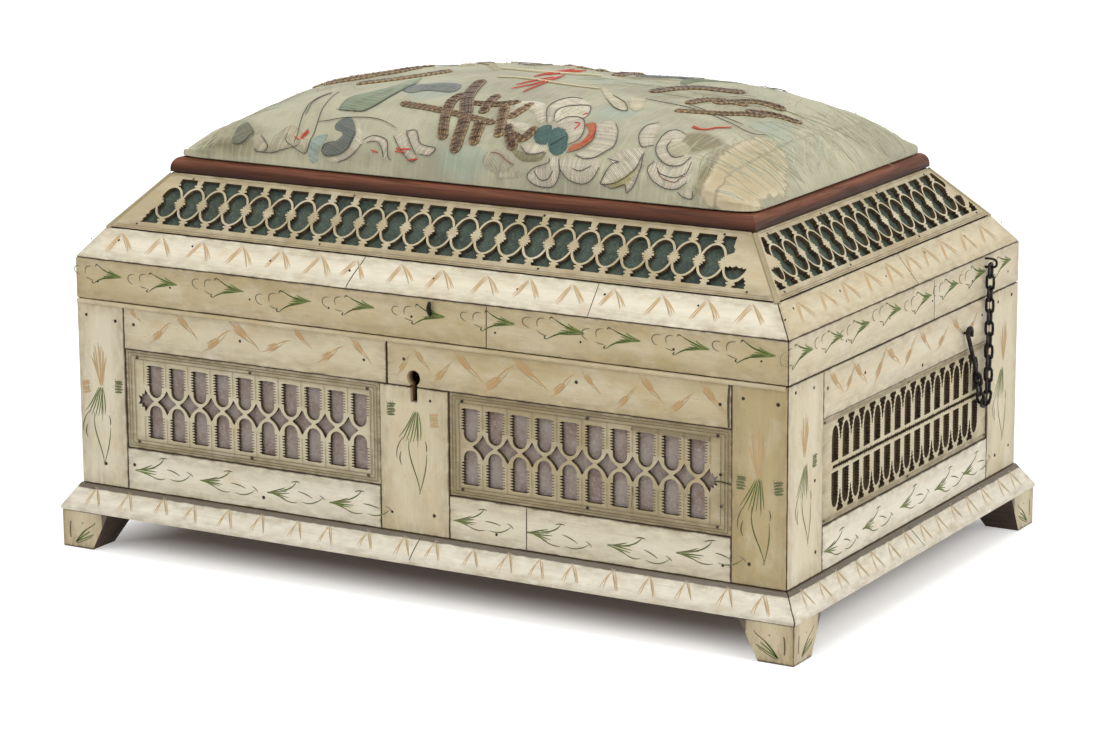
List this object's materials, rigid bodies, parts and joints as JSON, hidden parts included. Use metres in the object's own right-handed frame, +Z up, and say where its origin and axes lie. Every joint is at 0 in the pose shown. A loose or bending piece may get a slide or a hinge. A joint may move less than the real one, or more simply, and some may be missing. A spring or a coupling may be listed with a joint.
{
  "type": "bone sewing box",
  "caption": "Oblong sewing box veneered in pierced and engraved bone, with a hipped hinged lid that carries a padded silk pincushion and a stay chain.",
  "frame": {"origin": "on the ground under the middle of the box, at the bottom centre of its bounding box", "axes": "+X to the right along the longest side, the front with its keyhole faces -Y, +Z up"},
  "size_m": [0.292, 0.196, 0.166],
  "materials": {
    "bone_plate": "polished old bone with fine pores, engraved and stained orange and green",
    "bone_fret": "pierced old bone with grime in the corners, over coloured paper or cloth",
    "pine": "plain softwood carcass, aged",
    "rail_wood": "half-round hardwood rail, stained red-brown and waxed",
    "silk": "worn pale green silk with traditional embroidery",
    "iron": "hand-worked iron, black with age",
    "lock_brass": "dull brass"
  },
  "bodies": {
    "case": {"plinth_front": "bone_plate", "plinth_right": "bone_plate", "plinth_back": "bone_plate", "plinth_left": "bone_plate", "foot_front_left": "bone_plate", "foot_front_right": "bone_plate", "foot_back_left": "bone_plate", "foot_back_right": "bone_plate", "front_stile_left": "bone_plate", "front_stile_centre": "bone_plate", "front_stile_right": "bone_plate", "front_top_rail_left": "bone_plate", "front_top_rail_right": "bone_plate", "front_bottom_rail_left": "bone_plate", "front_bottom_rail_right": "bone_plate", "right_stile_front": "bone_plate", "right_stile_back": "bone_plate", "right_top_rail": "bone_plate", "right_bottom_rail": "bone_plate", "left_stile_front": "bone_plate", "left_stile_back": "bone_plate", "left_top_rail": "bone_plate", "left_bottom_rail": "bone_plate", "back_strip_bottom": "bone_plate", "back_strip_middle": "bone_plate", "back_strip_top": "bone_plate", "front_fret_left": "bone_fret", "front_fret_right": "bone_fret", "right_fret": "bone_fret", "left_fret": "bone_fret", "case_wall_front": "pine", "case_wall_right": "pine", "case_wall_back": "pine", "case_wall_left": "pine", "case_floor": "pine", "hinge_left_case_leaf": "iron", "hinge_right_case_leaf": "iron", "lock_case": "lock_brass"},
    "lid": {"lid_skirt_front": "bone_plate", "lid_skirt_right": "bone_plate", "lid_skirt_back": "bone_plate", "lid_skirt_left": "bone_plate", "lid_moulding_front": "bone_plate", "lid_moulding_right": "bone_plate", "lid_moulding_back": "bone_plate", "lid_moulding_left": "bone_plate", "lid_fret_front": "bone_fret", "lid_fret_right": "bone_fret", "lid_fret_back": "bone_fret", "lid_fret_left": "bone_fret", "lid_frame": "pine", "cushion_rail": "rail_wood", "cushion": "silk", "hinge_left_lid_leaf": "iron", "hinge_right_lid_leaf": "iron", "chain_staple": "iron", "lock_eye_plate": "lock_brass"},
    "bolt": {"lock_bolt": "lock_brass"},
    "chain": {"stay_chain": "iron"},
    "hook": {"chain_hook": "iron"}
  },
  "joints": [
    {"name": "lid_hinge", "type": "hinge", "parent": "case", "child": "lid", "pos_m": [0, 0.094, 0.09015], "axis": [-1, 0, 0], "range_deg": [0, 106]},
    {"name": "bolt_slide", "type": "slide", "parent": "case", "child": "bolt", "axis": [1, 0, 0], "range_m": [0, 0.007]},
    {"name": "chain_swing", "type": "hinge", "parent": "lid", "child": "chain", "pos_m": [0.1421, 0.0617, 0.101], "axis": [-1, 0, 0], "range_deg": [-57.67, 0]},
    {"name": "chain_bend", "type": "hinge", "parent": "chain", "child": "hook", "pos_m": [0.1421, 0.05789, 0.05261], "axis": [-1, 0, 0], "range_deg": [-123.65, 0]}
  ],
  "couplings": [
    {"joint": "chain_swing", "follows": "lid_hinge", "ratio": -0.544},
    {"joint": "chain_bend", "follows": "lid_hinge", "ratio": -1.1664}
  ]
}
